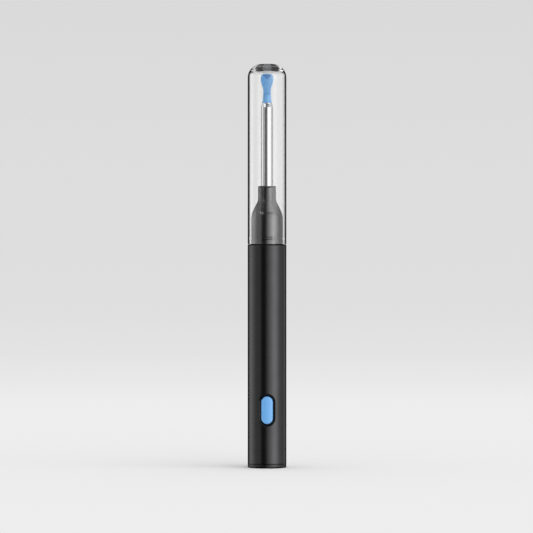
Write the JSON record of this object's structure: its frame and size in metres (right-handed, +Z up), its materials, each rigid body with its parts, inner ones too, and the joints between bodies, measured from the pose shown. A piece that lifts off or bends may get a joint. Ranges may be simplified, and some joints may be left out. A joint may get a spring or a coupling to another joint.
{
  "type": "ear wax cleaner",
  "caption": "Slim upright ear cleaner with a camera: round black handle with a push button, steel barrel, soft scoop tip and clear pull-off cap.",
  "frame": {"origin": "centre of the flat base the handle stands on", "axes": "+Z up along the handle towards the scoop tip, -Y out of the front where the button is, +X to the right seen from the front"},
  "size_m": [0.013, 0.013, 0.1355],
  "materials": {
    "handle_black": "satin black anodised",
    "end_cap_black": "fine satin",
    "nose_black": "semi-gloss",
    "button_blue": "satin gloss",
    "bezel_black": "matte",
    "clear_plastic": "polished, clear",
    "tip_blue": "soft satin",
    "polished_steel": "polished",
    "stamped_steel": "plain",
    "contact_gold": "gold plated",
    "brass_ring": "turned",
    "board_green": "solder mask",
    "chip_black": "moulded",
    "ceramic_tan": "plain",
    "inner_grey": "moulded",
    "cell_wrap": "shrink-wrapped can",
    "foam_grey": "foam",
    "lead_insulation": "plain",
    "flex_amber": "film",
    "seal_black": "plain",
    "led_white": "phosphor",
    "light_pipe": "clear",
    "window_glass": "coated"
  },
  "bodies": {
    "handle": {"body_tube": "handle_black", "end_cap": "end_cap_black", "usb_shell": "stamped_steel", "usb_tongue": "chip_black", "usb_contacts": "contact_gold", "button_bezel": "bezel_black", "tact_switch": "chip_black", "switch_dome": "stamped_steel", "main_board": "board_green", "board_screws": "stamped_steel", "chassis": "inner_grey", "battery_cell": "cell_wrap", "battery_guard": "board_green", "battery_leads": "lead_insulation", "battery_pad": "foam_grey", "radio_shield": "stamped_steel", "radio_chip": "chip_black", "processor_chip": "chip_black", "memory_chip": "chip_black", "charge_chip": "chip_black", "motion_sensor": "chip_black", "crystal": "stamped_steel", "inductor": "chip_black", "capacitors": "ceramic_tan", "flex_connector": "inner_grey", "camera_flex": "flex_amber", "antenna": "flex_amber", "nose": "nose_black", "nose_o_ring": "seal_black", "cap_detents": "nose_black", "barrel_seal": "seal_black", "barrel_retainer": "brass_ring", "camera_barrel": "polished_steel", "led_board": "board_green", "leds": "led_white", "light_guide": "light_pipe", "camera_sensor": "chip_black", "camera_lens": "chip_black", "lens_window": "window_glass"},
    "cap_body": {"cap": "clear_plastic"},
    "button_body": {"button": "button_blue"},
    "plunger_body": {"switch_plunger": "inner_grey"},
    "tip_body": {"ear_tip": "tip_blue"}
  },
  "joints": [
    {"name": "cap_pull", "type": "slide", "parent": "handle", "child": "cap_body", "axis": [0, 0, 1], "range_m": [0, 0.065]},
    {"name": "button_press", "type": "slide", "parent": "handle", "child": "button_body", "axis": [0, 1, 0], "range_m": [0, 0.00025], "stiffness_N_per_m": 400, "springref_m": -0.0005},
    {"name": "switch_plunger_press", "type": "slide", "parent": "handle", "child": "plunger_body", "axis": [0, 1, 0], "range_m": [0, 0.00025]},
    {"name": "tip_twist", "type": "hinge", "parent": "handle", "child": "tip_body", "pos_m": [0, 0, 0.1238], "axis": [0, 0, 1], "continuous": true}
  ],
  "couplings": [
    {"joint": "switch_plunger_press", "follows": "button_press", "ratio": 1}
  ]
}
